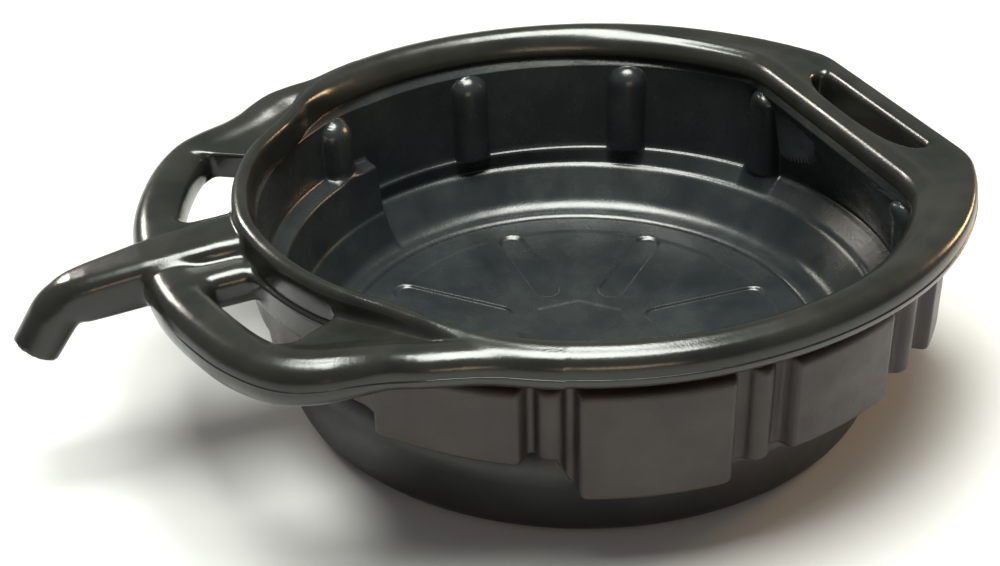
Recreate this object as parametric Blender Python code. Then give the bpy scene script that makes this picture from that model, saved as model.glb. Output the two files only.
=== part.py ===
# Oil drain pan, one hollow double-walled polyethylene moulding, laid out as its own regions.
# Frame: origin at the centre of the resting face, +Z up, +X toward the carry slot, spout along -X.
# The left side is -Y, the right side is +Y. All lengths are metres, all angles degrees.
import math
import bpy
import bmesh
from mathutils import Vector

# ---- driving dimensions -------------------------------------------------------------------
RIM_R = 0.2160            # outer radius of the rim bead
RIM_STRETCH = 1.08        # the carry end bulges: half-length over half-width of the rim there
CARRY_X = 0.2160          # outer straight edge of the carry flange
CORNER_BLEND = 0.0080     # rounding between the straight edge and the round rim
SPOUT_END_R = 0.2085      # rim radius between the two side handles
TOP_Z = 0.1360            # crest of the rim
PART_Z = 0.1240           # moulding parting line on the bead
BEAD_BOTTOM_Z = 0.1160    # underside of the bead
LIP_R = 0.1915            # pouring mouth radius at the lip
LIP_X = 0.1663            # straight mouth edge at the carry end
LIP_Z = 0.1205            # height of the lip nose
WALL_TOP_Z = 0.1154       # bowl wall and skirt wall stop just under the bead
WALL_FOOT_R = 0.1875      # bowl wall radius at its foot
WALL_DRAFT = 0.0018       # the bowl wall opens by this much up to the lip
WALL_T = 0.0022           # thickness of every skin
LEDGE_Z = 0.0508          # foot of the bowl wall, outer edge of the sloping ledge
BREAK_R = 0.1840          # inner edge of the sloping ledge
BREAK_Z = 0.0356
SHELF_Z = 0.0745          # raised shelf in front of the spout
SHELF_HALF = 117.5        # the shelf starts this far round from the carry end
FLOOR_R = 0.1590          # sump floor radius
FLOOR_Z = 0.0123
BASE_R = 0.1827           # widest part of the rounded bottom edge
SKIRT_R = 0.1983          # skirt wall between the panels
SKIRT_X = 0.1760          # the skirt steps back under the carry slot
PANEL_OUT = 0.0070        # panels stand this far off the skirt
PANEL_TOP_Z = 0.1085
GAP = 0.0003              # free space left between neighbouring regions
CLEAR = 0.0010            # free space behind parts that lie on a curved wall
STEP = 4.5                # angular pitch of the round surfaces
# skirt panels: start angle, end angle, lower edge height
PANELS = (("carry", 29.0, 44.0, 0.0500), ("front", 60.0, 80.0, 0.0530),
          ("middle", 90.0, 112.0, 0.0432), ("spout", 120.5, 143.0, 0.0626))
# half-round posts in the recesses between panels: angle, lower edge height
PILLARS = (("a", 52.0, 0.0545), ("b", 85.0, 0.0510), ("c", 116.3, 0.0665))
# half-round ribs on the inside of the bowl wall: angle
RIBS = (("a", 27.0), ("b", 57.5), ("c", 92.0), ("d", 126.0))
RIB_HALF = 0.0105
RIB_OUT = 0.0092
PILLAR_HALF = 0.0072
PILLAR_OUT = 0.0060
SKIRT_FOOT_Z = 0.0424     # the skirt starts on top of the base
SKIRT_LOW_SPOUT = 0.0710  # lower edge of the skirt between the side handles
# carry slot
SLOT_X_NEAR = 0.1790
SLOT_X_FAR = 0.2000
SLOT_HALF = 0.0600
# drain passage and spout
THROAT_START = 171.0      # the walls give way to the throat this far round
NECK_Z = 0.1072
NECK_HALF_W = 0.0142
NECK_HALF_H = 0.0050
# floor pattern
GROOVE_COUNT = 8
GROOVE_W = 0.0175
GROOVE_R = 0.1320
GROOVE_DEEP = 0.0014
HUB_R = 0.0375
FLOOR_T = 0.0030
BLACK = (0.018, 0.019, 0.020)


def clear_scene():
    for obj in list(bpy.data.objects):
        bpy.data.objects.remove(obj, do_unlink=True)


def rad(degrees):
    return math.radians(degrees)


def blend(low, high, value):
    """0 below low, 1 above high, smooth between."""
    t = min(1.0, max(0.0, (value - low) / (high - low)))
    return t * t * (3.0 - 2.0 * t)


def soft_min(a, b, k):
    h = max(k - abs(a - b), 0.0) / k
    return min(a, b) - h * h * k * 0.25


def straight(distance, a):
    """Radius at angle a of a straight edge square to +X."""
    c = math.cos(rad(a))
    if c < 0.2:
        return 10.0
    return distance / c


# ---- plan outlines ------------------------------------------------------------------------
def rim_round(a):
    c = math.cos(rad(a))
    s = math.sin(rad(a))
    if c > 0.0:
        return RIM_R / math.sqrt((c / RIM_STRETCH) ** 2 + s * s)
    return RIM_R + (SPOUT_END_R - RIM_R) * blend(119.0, 145.0, abs(a))


def rim_outline(a):
    return soft_min(rim_round(a), straight(CARRY_X, a), CORNER_BLEND)


def lip_outline(a):
    return soft_min(LIP_R, straight(LIP_X, a), 0.0120)


def bowl_outline(a, z):
    """Inner face of the bowl wall."""
    up = (z - LEDGE_Z) / (WALL_TOP_Z - LEDGE_Z)
    r = WALL_FOOT_R + WALL_DRAFT * up + 0.75 * max(0.0, rim_round(a) - RIM_R)
    r += 0.0022 * blend(114.0, 124.0, abs(a))
    edge = 0.2080 + (LIP_X - 0.0005 - 0.2080) * up
    return soft_min(r, straight(edge, a), 0.0080)


def skirt_outline(a, z):
    """Outer face of the skirt wall."""
    r = SKIRT_R + 0.75 * max(0.0, rim_round(a) - RIM_R)
    up = (z - 0.0425) / (WALL_TOP_Z - 0.0425)
    edge = 0.2240 + (SKIRT_X - 0.2240) * up
    return soft_min(r, straight(edge, a), 0.0080)


def skirt_low(a):
    """Lower edge of the skirt, stepping from panel to panel."""
    a = abs(a)
    z = PILLARS[0][2] * blend(14.0, 26.0, a) + 0.0500 * (1.0 - blend(14.0, 26.0, a))
    for _, start, end, low in PANELS:
        inside = blend(start - 3.0, start, a) * (1.0 - blend(end, end + 3.0, a))
        z += (low - z) * inside
    if a > 81.0 and a < 89.0:
        z = max(z, PILLARS[1][2])
    if a > 113.0 and a < 119.5:
        z = max(z, PILLARS[2][2])
    z += (SKIRT_LOW_SPOUT - z) * blend(143.0, 147.0, a)
    return z


# ---- mesh helpers -------------------------------------------------------------------------
def material(name, colour, roughness):
    mat = bpy.data.materials.new(name)
    mat.use_nodes = True
    bsdf = mat.node_tree.nodes["Principled BSDF"]
    bsdf.inputs["Base Color"].default_value = (colour[0], colour[1], colour[2], 1.0)
    bsdf.inputs["Roughness"].default_value = roughness
    bsdf.inputs["Metallic"].default_value = 0.0
    return mat


def finish_mesh(name, bm, mat, smooth=True):
    bmesh.ops.recalc_face_normals(bm, faces=bm.faces)
    mesh = bpy.data.meshes.new(name)
    bm.to_mesh(mesh)
    bm.free()
    for poly in mesh.polygons:
        poly.use_smooth = smooth
    obj = bpy.data.objects.new(name, mesh)
    obj.data.materials.append(mat)
    bpy.context.scene.collection.objects.link(obj)
    return obj


def sweep(name, sections, closed, mat):
    """Join matching closed sections into one body; open sweeps get flat ends."""
    bm = bmesh.new()
    rings = []
    for section in sections:
        rings.append([bm.verts.new(p) for p in section])
    pairs = list(zip(rings, rings[1:]))
    if closed:
        pairs.append((rings[-1], rings[0]))
    for first, second in pairs:
        count = len(first)
        for i in range(count):
            j = (i + 1) % count
            bm.faces.new((first[i], first[j], second[j], second[i]))
    if not closed:
        bm.faces.new(rings[0])
        bm.faces.new(rings[-1])
    return finish_mesh(name, bm, mat)


def polar(r, a, z):
    return Vector((r * math.cos(rad(a)), r * math.sin(rad(a)), z))


def angles(start, end, extra=()):
    """Angles from start to end at the common pitch, with chosen extra angles kept."""
    count = max(1, int(round((end - start) / STEP)))
    wanted = [start + (end - start) * i / count for i in range(count + 1)]
    kept = [e for e in extra if start < e < end]
    wanted = [w for w in wanted if all(abs(w - k) > 0.35 * STEP for k in kept) or w in (start, end)]
    return sorted(wanted + kept)


def mirrored(values):
    return [-v for v in values] + list(values)


def ring(name, profile, mat, extra=()):
    """Full ring: profile(a) gives the closed section as (radius, height) pairs."""
    spots = angles(-180.0, 180.0, extra)[:-1]
    sections = [[polar(r, a, z) for r, z in profile(a)] for a in spots]
    return sweep(name, sections, True, mat)


def turned(a):
    """The same direction between -180 and 180."""
    return a if a <= 180.0 else a - 360.0


def sector(name, start, end, profile, mat, extra=()):
    spots = angles(start, end, extra)
    sections = [[polar(r, a, z) for r, z in profile(a)] for a in spots]
    return sweep(name, sections, False, mat)


def cutter(name, bm):
    obj = finish_mesh(name, bm, material(name + "_mat", BLACK, 0.5), False)
    obj.hide_render = True
    obj.display_type = "WIRE"
    return obj


def cut(obj, tool):
    mod = obj.modifiers.new("cut", "BOOLEAN")
    mod.operation = "DIFFERENCE"
    mod.solver = "EXACT"
    mod.object = tool


def prism(outline, low, high):
    """Closed upright body over a plan outline."""
    bm = bmesh.new()
    bottom = [bm.verts.new((x, y, low)) for x, y in outline]
    top = [bm.verts.new((x, y, high)) for x, y in outline]
    bm.faces.new(bottom)
    bm.faces.new(top)
    for i in range(len(outline)):
        j = (i + 1) % len(outline)
        bm.faces.new((bottom[i], bottom[j], top[j], top[i]))
    bmesh.ops.recalc_face_normals(bm, faces=bm.faces)
    return bm


# ---- base and sump ------------------------------------------------------------------------
def base_profile(_):
    outer = [(0.1728, 0.0), (0.1778, 0.0013), (0.1814, 0.0048), (BASE_R, 0.0097),
             (0.1879, 0.0281), (0.1914, 0.0421)]
    inner = [(0.1888, 0.0421), (0.1853, 0.0281), (0.1801, 0.0105), (0.1786, 0.0068),
             (0.1760, 0.0040), (0.1720, 0.0027)]
    return outer, inner


def build_base(mat):
    bm = bmesh.new()
    outer, inner = base_profile(0.0)
    spots = angles(-180.0, 180.0)[:-1]
    rings = [[bm.verts.new(polar(r, a, z)) for a in spots] for r, z in outer + inner]
    count = len(spots)
    for first, second in zip(rings, rings[1:]):
        for i in range(count):
            j = (i + 1) % count
            bm.faces.new((first[i], first[j], second[j], second[i]))
    bm.faces.new(rings[0])
    bm.faces.new(rings[-1])
    return finish_mesh("base_shell", bm, mat)


def groove_bar(angle_deg):
    half = GROOVE_W * 0.5
    outline = []
    for end in (0.0, 180.0):
        for i in range(7):
            t = rad(end - 90.0 + 180.0 * i / 6.0)
            cx = (GROOVE_R - half) * math.cos(rad(end))
            outline.append((cx + half * math.cos(t), half * math.sin(t)))
    c = math.cos(rad(angle_deg))
    s = math.sin(rad(angle_deg))
    return [(x * c - y * s, x * s + y * c) for x, y in outline]


def build_floor(mat):
    bm = bmesh.new()
    spots = angles(-180.0, 180.0)[:-1]
    edge = FLOOR_R - GAP
    levels = [(edge, FLOOR_Z - FLOOR_T), (edge, FLOOR_Z)]
    rings = [[bm.verts.new(polar(r, a, z)) for a in spots] for r, z in levels]
    count = len(spots)
    for i in range(count):
        j = (i + 1) % count
        bm.faces.new((rings[0][i], rings[0][j], rings[1][j], rings[1][i]))
    bm.faces.new(rings[0])
    bm.faces.new(rings[1])
    floor = finish_mesh("sump_floor", bm, mat, False)
    for k in range(GROOVE_COUNT // 2):
        bar = prism(groove_bar(k * 360.0 / GROOVE_COUNT), FLOOR_Z - GROOVE_DEEP, FLOOR_Z + 0.004)
        cut(floor, cutter("groove_tool_%d" % k, bar))
    hub = [(HUB_R * math.cos(rad(45.0 * k)), HUB_R * math.sin(rad(45.0 * k))) for k in range(8)]
    cut(floor, cutter("hub_tool", prism(hub, FLOOR_Z - GROOVE_DEEP * 0.75, FLOOR_Z + 0.004)))
    return floor


def sump_top(a):
    """Radius of the sump wall where it meets the ledge or the shelf slope."""
    return BREAK_R - 0.0105 * blend(SHELF_HALF - 1.0, SHELF_HALF + 9.0, abs(a))


def sump_profile(a):
    top = sump_top(a)
    face = [(FLOOR_R, FLOOR_Z), (0.1640, 0.0130), (0.1680, 0.0156), (0.1706, 0.0190),
            (top, BREAK_Z)]
    back = [(top + 0.0024, BREAK_Z), (0.1732, 0.0180), (0.1700, 0.0132), (0.1652, 0.0103),
            (FLOOR_R, FLOOR_Z - FLOOR_T)]
    return face + back


def ledge_profile(a):
    foot = bowl_outline(a, LEDGE_Z) + 0.0002
    face = [(BREAK_R, BREAK_Z + GAP), (BREAK_R + 0.0008, BREAK_Z + 0.0026),
            (min(BREAK_R + 0.0022, foot - 0.0020), LEDGE_Z - 0.0050),
            (foot - 0.0016, LEDGE_Z - 0.0020), (foot, LEDGE_Z)]
    back = [(foot + 0.0022, LEDGE_Z), (foot + 0.0010, LEDGE_Z - 0.0034),
            (BREAK_R + 0.0043, LEDGE_Z - 0.0068), (BREAK_R + 0.0027, BREAK_Z + 0.0020),
            (BREAK_R + 0.0024, BREAK_Z + GAP)]
    return face + back


def shelf_profile(a):
    foot = bowl_outline(a, SHELF_Z) + 0.0002
    low = sump_top(a)
    fill = 1.0 - blend(SHELF_HALF + 1.5, SHELF_HALF + 4.0, abs(a))
    face = [(low, BREAK_Z + GAP), (0.1768, SHELF_Z - 0.0075), (0.1784, SHELF_Z - 0.0042),
            (foot - 0.0020, SHELF_Z - 0.0016), (foot, SHELF_Z)]
    drop = (SHELF_Z - 0.0050) * (1.0 - fill) + (SKIRT_FOOT_Z + 0.0022) * fill
    back = [(foot + 0.0022, SHELF_Z), (foot + 0.0002, drop),
            (0.1795 + 0.0060 * fill, drop - 0.0015), (low + 0.0024, BREAK_Z + GAP)]
    return face + back


# ---- bowl wall, ribs, rim -----------------------------------------------------------------
def bowl_foot(a):
    low = LEDGE_Z if abs(a) < SHELF_HALF else SHELF_Z
    return low + GAP


def bowl_levels(a):
    low = bowl_foot(a)
    return [low + (WALL_TOP_Z - low) * i / 5.0 for i in range(6)]


def bowl_profile(a):
    levels = bowl_levels(a)
    face = [(bowl_outline(a, z), z) for z in levels]
    back = [(bowl_outline(a, z) + WALL_T, z) for z in reversed(levels)]
    return face + back


def along(levels, z):
    """Two neighbouring levels around z and the share between them."""
    for low, high in zip(levels, levels[1:]):
        if z <= high or high == levels[-1]:
            return low, high, (z - low) / (high - low)
    return levels[0], levels[1], 0.0


def bowl_face(a, z):
    """Radius of the bowl wall as built, straight between its levels."""
    low, high, share = along(bowl_levels(a), z)
    return bowl_outline(a, low) * (1.0 - share) + bowl_outline(a, high) * share


def skirt_levels(a):
    low = max(skirt_low(a) + 0.0016, SKIRT_FOOT_Z + 0.0012)
    return [low, 0.5 * (skirt_low(a) + WALL_TOP_Z), WALL_TOP_Z]


def skirt_face(a, z):
    """Radius of the skirt wall as built, straight between its levels."""
    low, high, share = along(skirt_levels(a), z)
    return skirt_outline(a, low) * (1.0 - share) + skirt_outline(a, high) * share


def half_round(name, angle_deg, half, out, levels, radius_at, sign, mat):
    """Upright half-round moulding standing on a curved wall; sign -1 points inward."""
    count = 8
    sections = []
    for z, swell in levels:
        section = []
        base = radius_at(angle_deg, z)
        spread = math.degrees(half * (0.55 + 0.45 * swell) / base)
        for i in range(count + 1):
            t = -1.0 + 2.0 * i / count
            a = angle_deg + spread * t
            wall = radius_at(a, z) + sign * CLEAR
            lift = 0.0004 + out * swell * math.sqrt(max(0.0, 1.0 - t * t))
            section.append(polar(wall + sign * lift, a, z))
        for i in range(count - 1, 0, -1):
            a = angle_deg + spread * (-1.0 + 2.0 * i / count)
            section.append(polar(radius_at(a, z) + sign * CLEAR, a, z))
        sections.append(section)
    return sweep(name, sections, False, mat)


def build_rib(tag, side, angle_deg, mat):
    a = angle_deg * side
    high = WALL_TOP_Z - 0.0010
    levels = [(z, 1.0) for z in bowl_levels(a)[:5]]
    levels += [(high - 0.0055, 1.0), (high - 0.0025, 0.86), (high, 0.45)]
    name = "wall_rib_%s_%s" % (tag, "left" if side < 0 else "right")
    return half_round(name, a, RIB_HALF, RIB_OUT, levels, bowl_face, -1.0, mat)


def build_pillar(tag, side, angle_deg, low, mat):
    a = angle_deg * side
    high = PANEL_TOP_Z
    levels = [(low, 0.9), (low + 0.0020, 1.0), (high - 0.0020, 1.0), (high, 0.8)]
    name = "skirt_post_%s_%s" % (tag, "left" if side < 0 else "right")
    return half_round(name, a, PILLAR_HALF, PILLAR_OUT, levels, skirt_face, 1.0, mat)


def rim_section(a):
    """Channel section of the bead: crest, inner slope, lip, open underneath."""
    out = rim_outline(a)
    lip = lip_outline(a)
    wide = blend(0.026, 0.040, out - lip)
    plate = TOP_Z - 0.0012 - 0.0030 * wide
    face = [(out - 0.0022, BEAD_BOTTOM_Z), (out - 0.0004, BEAD_BOTTOM_Z + 0.0030),
            (out, PART_Z), (out - 0.0012, PART_Z + 0.0050),
            (out - 0.0042, TOP_Z - 0.0022), (out - 0.0092, TOP_Z),
            (out - 0.0135, TOP_Z - 0.0012 - 0.0022 * wide), (lip + 0.0098, plate),
            (lip + 0.0040, plate - 0.0052), (lip + 0.0006, LIP_Z + 0.0028),
            (lip, LIP_Z - 0.0010), (lip + 0.0012, BEAD_BOTTOM_Z)]
    hollow = [(lip + 0.0040, BEAD_BOTTOM_Z), (lip + 0.0044, LIP_Z + 0.0010),
              (lip + 0.0108, plate - 0.0032), (out - 0.0140, plate - 0.0032),
              (out - 0.0075, TOP_Z - 0.0034), (out - 0.0038, PART_Z + 0.0030),
              (out - 0.0052, BEAD_BOTTOM_Z)]
    return face + hollow


def flange_section(a):
    """Solid section of the carry flange, same outer faces as the bead."""
    return rim_section(a)[:12]


def slot_outline():
    """Kidney-shaped finger slot: its near edge bows toward the mouth."""
    points = []
    count = 10
    for i in range(count + 1):
        y = -SLOT_HALF + 2.0 * SLOT_HALF * i / count
        bow = (y / SLOT_HALF) ** 2
        points.append((SLOT_X_NEAR + 0.0080 * bow * bow + 0.0035 * bow, y))
    points.append((SLOT_X_FAR - 0.0030, SLOT_HALF + 0.0020))
    points.append((SLOT_X_FAR, SLOT_HALF - 0.0030))
    points.append((SLOT_X_FAR, -SLOT_HALF + 0.0030))
    points.append((SLOT_X_FAR - 0.0030, -SLOT_HALF - 0.0020))
    return points


# ---- skirt --------------------------------------------------------------------------------
def skirt_under(a, z):
    """Outer face below the panels, growing out of the base."""
    grown = blend(SKIRT_FOOT_Z, SKIRT_FOOT_Z + 0.0018, z)
    return 0.1918 + (skirt_outline(a, z) - 0.0040 - 0.1918) * grown


def skirt_profile(a):
    low = skirt_low(a)
    foot = SKIRT_FOOT_Z
    middle = 0.5 * (low + WALL_TOP_Z)
    face = []
    for z in (foot, max(min(low - 0.0022, foot + 0.0018), foot + 0.0003),
              max(low - 0.0004, foot + 0.0006)):
        face.append((skirt_under(a, z), z))
    for z in skirt_levels(a):
        face.append((skirt_outline(a, z), z))
    back = []
    for z in (WALL_TOP_Z, middle, max(low + 0.0030, foot + 0.0024)):
        back.append((skirt_outline(a, z) - WALL_T, z))
    for z in (max(low - 0.0010, foot + 0.0020), foot + 0.0017, foot):
        back.append((skirt_under(a, z) - WALL_T, z))
    return face + back


def build_panel(tag, side, start, end, low, mat):
    """Boxed panel: flat-faced, rounded on every outer edge."""
    middle = 0.5 * (low + WALL_TOP_Z)
    low = low + 0.0006
    inset = 1.0
    heights = ((low, 0.35), (low + 0.0012, 0.80), (low + 0.0035, 1.0), (middle, 1.0),
               (PANEL_TOP_Z - 0.0035, 1.0), (PANEL_TOP_Z - 0.0010, 0.75),
               (PANEL_TOP_Z, 0.35))
    spots = [start, start + inset * 0.35, start + inset]
    fine = [start + 1.5 * i for i in range(1, 8)] if tag == "carry" else []
    spots += angles(start + inset, end - inset, fine)[1:-1]
    spots += [end - inset, end - inset * 0.35, end]
    if side < 0:
        spots = [-s for s in reversed(spots)]
    sections = []
    for a in spots:
        edge = min(abs(a) - start, end - abs(a))
        round_off = 0.35 + 0.65 * min(1.0, math.sqrt(max(0.0, edge) / inset))
        section = []
        for z, lift in heights:
            r = skirt_face(a, z) + CLEAR + PANEL_OUT * min(lift, round_off)
            section.append(polar(r, a, z))
        for z, _ in reversed(heights):
            section.append(polar(skirt_face(a, z) + CLEAR, a, z))
        sections.append(section)
    name = "skirt_panel_%s_%s" % (tag, "left" if side < 0 else "right")
    return sweep(name, sections, False, mat)


# ---- spout --------------------------------------------------------------------------------
def tube_section(x, z, lean, half_w, half_h, square):
    """Rounded section square to a path that leans down by lean degrees."""
    points = []
    count = 16
    for i in range(count):
        t = 2.0 * math.pi * (i + 0.5) / count
        c = math.cos(t)
        s = math.sin(t)
        p = 1.0 - 0.5 * square
        u = math.copysign(abs(c) ** p, c) * half_w
        v = math.copysign(abs(s) ** p, s) * half_h
        points.append(Vector((x - v * math.sin(rad(lean)), u, z + v * math.cos(rad(lean)))))
    return points


def spout_stations():
    """x, z, lean, half width, half height, squareness, bore half width, bore half height."""
    return [
        (-0.1996, NECK_Z, 0.0, 0.0175, 0.0071, 0.8, NECK_HALF_W, NECK_HALF_H),
        (-0.2084, NECK_Z, 0.0, 0.0175, 0.0071, 0.8, NECK_HALF_W, NECK_HALF_H),
        (-0.2092, 0.1165, 2.0, 0.0196, 0.0145, 0.9, NECK_HALF_W, NECK_HALF_H),
        (-0.2180, 0.1162, 6.0, 0.0192, 0.0145, 0.9, 0.0142, 0.0105),
        (-0.2570, 0.1118, 8.0, 0.0166, 0.0140, 0.8, 0.0130, 0.0108),
        (-0.2870, 0.1072, 9.0, 0.0144, 0.0136, 0.6, 0.0110, 0.0104),
    ]


def tip_stations():
    """The turned-down end: a short lead, the bend and a straight outlet."""
    x, z, lean = -0.2874, 0.10715, 9.0
    stations = [(x, z, lean, 0.0143, 0.0136, 0.6, 0.0110, 0.0104)]
    x, z = -0.2930, 0.1062
    stations.append((x, z, lean, 0.0138, 0.0135, 0.4, 0.0105, 0.0102))
    for _ in range(5):
        for _ in range(2):
            x -= 0.0020 * math.cos(rad(lean))
            z -= 0.0020 * math.sin(rad(lean))
            lean += 4.6
        stations.append((x, z, lean, 0.0134, 0.0134, 0.2, 0.0102, 0.0102))
    x -= 0.0215 * math.cos(rad(lean))
    z -= 0.0215 * math.sin(rad(lean))
    stations.append((x, z, lean, 0.0130, 0.0130, 0.1, 0.0099, 0.0099))
    return stations


def build_tube(name, stations, mat):
    outer = [tube_section(x, z, lean, w, h, q) for x, z, lean, w, h, q, _, _ in stations]
    bore = [tube_section(x, z, lean, bw, bh, q) for x, z, lean, _, _, q, bw, bh in stations]
    bm = bmesh.new()
    rings = []
    for section in outer + list(reversed(bore)):
        rings.append([bm.verts.new(p) for p in section])
    for first, second in zip(rings, rings[1:] + rings[:1]):
        for i in range(len(first)):
            j = (i + 1) % len(first)
            bm.faces.new((first[i], first[j], second[j], second[i]))
    return finish_mesh(name, bm, mat)


def throat_profile(a):
    """Both walls pinched together round the drain passage, with the skirt below it."""
    outer = skirt_profile(a)
    low = SHELF_Z + GAP
    inner = [(bowl_outline(a, low), low), (bowl_outline(a, WALL_TOP_Z), WALL_TOP_Z)]
    below = [(skirt_outline(a, low) - WALL_T, low)]
    return inner + list(reversed(outer[:6])) + list(reversed(outer[8:])) + below


def throat_tool():
    """The drain passage from the bowl into the spout."""
    sections = []
    for x in (-0.1700, -0.2200):
        sections.append(tube_section(x, NECK_Z, 0.0, NECK_HALF_W, NECK_HALF_H, 0.8))
    tool = sweep("throat_tool", sections, False, material("throat_tool_mat", BLACK, 0.5))
    tool.hide_render = True
    tool.display_type = "WIRE"
    return tool


# ---- side handles -------------------------------------------------------------------------
def handle_stations():
    """Inner plan point, outer plan point, centre height, half height for the left handle."""
    stations = []
    stations.append(((-0.2096, -0.0204), (-0.2610, -0.0178), 0.1140, 0.0125))
    stations.append(((-0.2096, -0.0285), (-0.2615, -0.0285), 0.1135, 0.0130))
    stations.append(((-0.2105, -0.0355), (-0.2610, -0.0400), 0.1125, 0.0132))
    stations.append(((-0.2215, -0.0420), (-0.2595, -0.0490), 0.1120, 0.0136))
    stations.append(((-0.2290, -0.0520), (-0.2575, -0.0590), 0.1115, 0.0138))
    loop = ((163.0, 0.2335, 0.2625, 0.1112, 0.0138), (159.0, 0.2330, 0.2625, 0.1112, 0.0138),
            (155.5, 0.2320, 0.2622, 0.1114, 0.0138), (153.0, 0.2290, 0.2618, 0.1120, 0.0136),
            (151.0, 0.2200, 0.2612, 0.1128, 0.0132), (149.5, 0.2110, 0.2602, 0.1134, 0.0130),
            (147.0, 0.0, 0.2570, 0.1145, 0.0126), (144.5, 0.0, 0.2515, 0.1160, 0.0122),
            (142.0, 0.0, 0.2450, 0.1180, 0.0116), (139.0, 0.0, 0.2390, 0.1205, 0.0108),
            (136.0, 0.0, 0.2360, 0.1225, 0.0100), (132.5, 0.0, 0.2340, 0.1245, 0.0092),
            (129.0, 0.0, 0.2275, 0.1252, 0.0088), (125.5, 0.0, 0.2215, 0.1256, 0.0082))
    for a, inner, outer, z, h in loop:
        r = max(inner, rim_outline(a) + GAP * 1.6)
        stations.append((polar(r, -a, 0.0)[:2], polar(outer, -a, 0.0)[:2], z, h))
    return stations


def build_handle(side, mat):
    sections = []
    count = 14
    for inner, outer, z, h in handle_stations():
        mid = ((inner[0] + outer[0]) * 0.5, (inner[1] + outer[1]) * 0.5)
        half = ((outer[0] - inner[0]) * 0.5, (outer[1] - inner[1]) * 0.5)
        section = []
        for i in range(count):
            t = 2.0 * math.pi * i / count
            c = math.copysign(abs(math.cos(t)) ** 0.85, math.cos(t))
            s = math.copysign(abs(math.sin(t)) ** 0.85, math.sin(t))
            section.append((mid[0] + half[0] * c, -side * (mid[1] + half[1] * c), z + h * s))
        sections.append(section)
    name = "side_handle_%s" % ("left" if side < 0 else "right")
    return sweep(name, sections, False, mat)


# ---- assembly -----------------------------------------------------------------------------
def build():
    clear_scene()
    skin = material("black_polyethylene", BLACK, 0.34)
    inside = material("black_polyethylene_inside", (0.016, 0.018, 0.021), 0.30)
    bead = material("black_polyethylene_bead", (0.020, 0.021, 0.020), 0.24)
    texture = material("black_polyethylene_textured", (0.022, 0.021, 0.020), 0.46)

    build_base(skin)
    build_floor(inside)
    step_spots = mirrored((SHELF_HALF - 1.0, SHELF_HALF + 9.0))
    ring("sump_wall", sump_profile, inside, step_spots)
    sector("bowl_ledge", -SHELF_HALF + 0.1, SHELF_HALF - 0.1, ledge_profile, inside)
    sector("spout_shelf", SHELF_HALF + 0.1, 360.0 - SHELF_HALF - 0.1,
           lambda a: shelf_profile(turned(a)), inside,
           (SHELF_HALF + 1.5, SHELF_HALF + 4.0, 360.0 - SHELF_HALF - 4.0,
            360.0 - SHELF_HALF - 1.5))
    step_edge = mirrored((SHELF_HALF - 0.05, SHELF_HALF + 0.05))
    rib_spots = [20.0] + [RIBS[0][1] - 3.5 + i for i in range(8)]
    for _, angle_deg in RIBS[1:]:
        rib_spots += [angle_deg - 3.0, angle_deg, angle_deg + 3.0]
    sector("bowl_wall", -THROAT_START, THROAT_START, bowl_profile, inside,
           step_edge + mirrored(rib_spots))
    for tag, angle_deg in RIBS:
        for side in (-1, 1):
            build_rib(tag, side, angle_deg, inside)

    sector("rim_bead", 33.0, 327.0, lambda a: rim_section(turned(a)), bead)
    flange = sector("carry_flange", -32.9, 32.9, flange_section, bead, mirrored((18.0, 22.0)))
    cut(flange, cutter("slot_tool", prism(slot_outline(), 0.1000, 0.1500)))

    edges = []
    for _, start, end, _ in PANELS:
        edges += [start - 3.0, start, end, end + 3.0]
    edges += [147.0] + [PANELS[0][1] + 1.5 * i for i in range(1, 8)]
    sector("skirt_wall", -THROAT_START, THROAT_START, skirt_profile, texture, mirrored(edges))
    throat = sector("spout_throat", THROAT_START + 0.1, 359.9 - THROAT_START,
                    lambda a: throat_profile(turned(a)), texture)
    cut(throat, throat_tool())
    for tag, start, end, low in PANELS:
        for side in (-1, 1):
            build_panel(tag, side, start, end, low, texture)
    for tag, angle_deg, low in PILLARS:
        for side in (-1, 1):
            build_pillar(tag, side, angle_deg, low, texture)

    build_tube("spout_tube", spout_stations(), bead)
    build_tube("spout_tip", tip_stations(), bead)
    for side in (-1, 1):
        build_handle(side, bead)


build()
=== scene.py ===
# Oil drain pan in black blow-moulded polyethylene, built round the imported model.
# Frame: metres, +Z up, the carry slot at +X, the spout along -X, left side -Y.
# Angles are in degrees from +X. The pan is the same on both sides of the XZ plane.
import math
import bpy
import numpy as np
from mathutils import Matrix, Vector


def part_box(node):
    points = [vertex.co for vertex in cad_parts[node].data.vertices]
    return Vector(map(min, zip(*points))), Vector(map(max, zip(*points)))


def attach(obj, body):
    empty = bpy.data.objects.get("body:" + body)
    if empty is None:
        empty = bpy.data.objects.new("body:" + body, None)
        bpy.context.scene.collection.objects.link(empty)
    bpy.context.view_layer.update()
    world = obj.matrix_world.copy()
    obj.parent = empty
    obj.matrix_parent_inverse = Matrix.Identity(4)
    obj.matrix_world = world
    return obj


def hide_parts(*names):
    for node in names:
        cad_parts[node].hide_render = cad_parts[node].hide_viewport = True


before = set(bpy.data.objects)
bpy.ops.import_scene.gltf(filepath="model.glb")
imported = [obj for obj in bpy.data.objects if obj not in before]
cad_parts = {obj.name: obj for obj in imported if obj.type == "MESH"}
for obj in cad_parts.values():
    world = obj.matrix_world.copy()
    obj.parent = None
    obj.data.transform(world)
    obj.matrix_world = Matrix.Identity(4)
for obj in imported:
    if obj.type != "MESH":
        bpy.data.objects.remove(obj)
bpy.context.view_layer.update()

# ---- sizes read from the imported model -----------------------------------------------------
RIM_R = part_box("rim_bead")[1][1]              # outer radius of the bead
TOP_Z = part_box("rim_bead")[1][2]              # crest of the rim
CARRY_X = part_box("carry_flange")[1][0]        # straight end of the rim
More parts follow.
